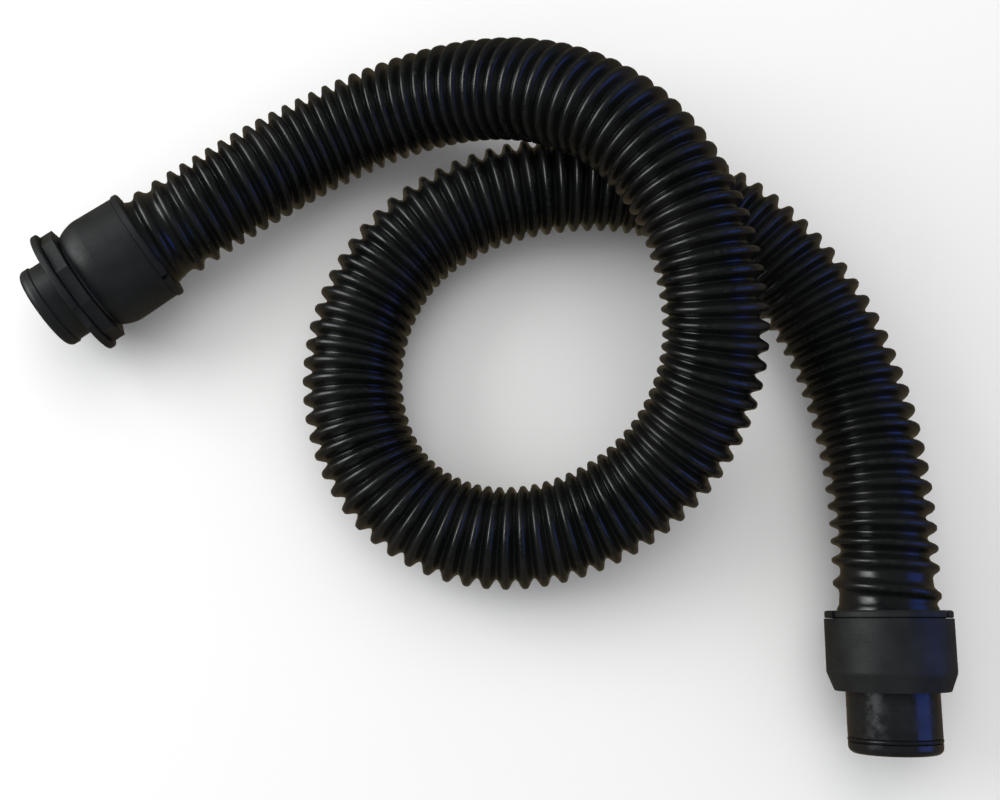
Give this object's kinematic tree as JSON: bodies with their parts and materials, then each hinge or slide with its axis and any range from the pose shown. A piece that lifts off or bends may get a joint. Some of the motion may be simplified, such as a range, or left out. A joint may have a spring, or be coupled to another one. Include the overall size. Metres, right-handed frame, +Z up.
{
  "type": "respirator breathing hose",
  "caption": "Corrugated rubber breathing hose lying in one loose loop, with a swivelling plug-in connector at one end and a bayonet connector with a turning lock ring at the other.",
  "frame": {"origin": "on the surface the hose lies on, midway between the outer limits of the two connectors", "axes": "+Z up from the surface, +X from the headtop connector towards the blower connector, -Y along the blower connector's spigot"},
  "size_m": [0.3653, 0.2812, 0.0835],
  "materials": {
    "hose_rubber": "semi-gloss black rubber",
    "shell_plastic": "fine-textured charcoal",
    "spigot_plastic": "glossy black",
    "nose_plastic": "satin charcoal",
    "nipple_plastic": "moulded dark grey",
    "seal_rubber": "greased black rubber",
    "band_steel": "rolled stainless",
    "spring_steel": "oiled spring steel",
    "washer_plastic": "natural acetal"
  },
  "bodies": {
    "hose": {"hose_tube": "hose_rubber", "head_cuff": "hose_rubber", "head_nipple": "nipple_plastic", "head_crimp_band": "band_steel", "head_swivel_seal": "seal_rubber", "blower_cuff": "hose_rubber", "blower_nipple": "nipple_plastic", "blower_crimp_band": "band_steel", "blower_swivel_seal": "seal_rubber"},
    "blower_connector": {"blower_collar": "shell_plastic", "blower_spigot": "spigot_plastic", "blower_spigot_seal": "seal_rubber", "blower_circlip": "spring_steel", "blower_thrust_washer": "washer_plastic", "blower_retainer_1": "shell_plastic", "blower_retainer_2": "shell_plastic", "blower_retainer_3": "shell_plastic"},
    "head_connector": {"head_body": "shell_plastic", "head_spigot": "nose_plastic", "head_circlip": "spring_steel", "head_thrust_washer": "washer_plastic", "head_lock_clip": "nipple_plastic", "head_wave_spring": "spring_steel", "head_retainer_1": "shell_plastic", "head_retainer_2": "shell_plastic", "head_retainer_3": "shell_plastic"},
    "head_lock": {"head_lock_ring": "shell_plastic", "head_bayonet_flange": "shell_plastic"}
  },
  "joints": [
    {"name": "blower_swivel", "type": "hinge", "parent": "hose", "child": "blower_connector", "pos_m": [0.1585, -0.0564, 0.0241], "axis": [0, -1, 0], "continuous": true},
    {"name": "head_swivel", "type": "hinge", "parent": "hose", "child": "head_connector", "pos_m": [-0.13293, 0.09037, 0.0266], "axis": [-0.8238, -0.5669, 0], "continuous": true},
    {"name": "head_lock_turn", "type": "hinge", "parent": "head_connector", "child": "head_lock", "pos_m": [-0.15929, 0.07223, 0.0266], "axis": [-0.8238, -0.5669, 0], "range_deg": [0, 45]}
  ]
}
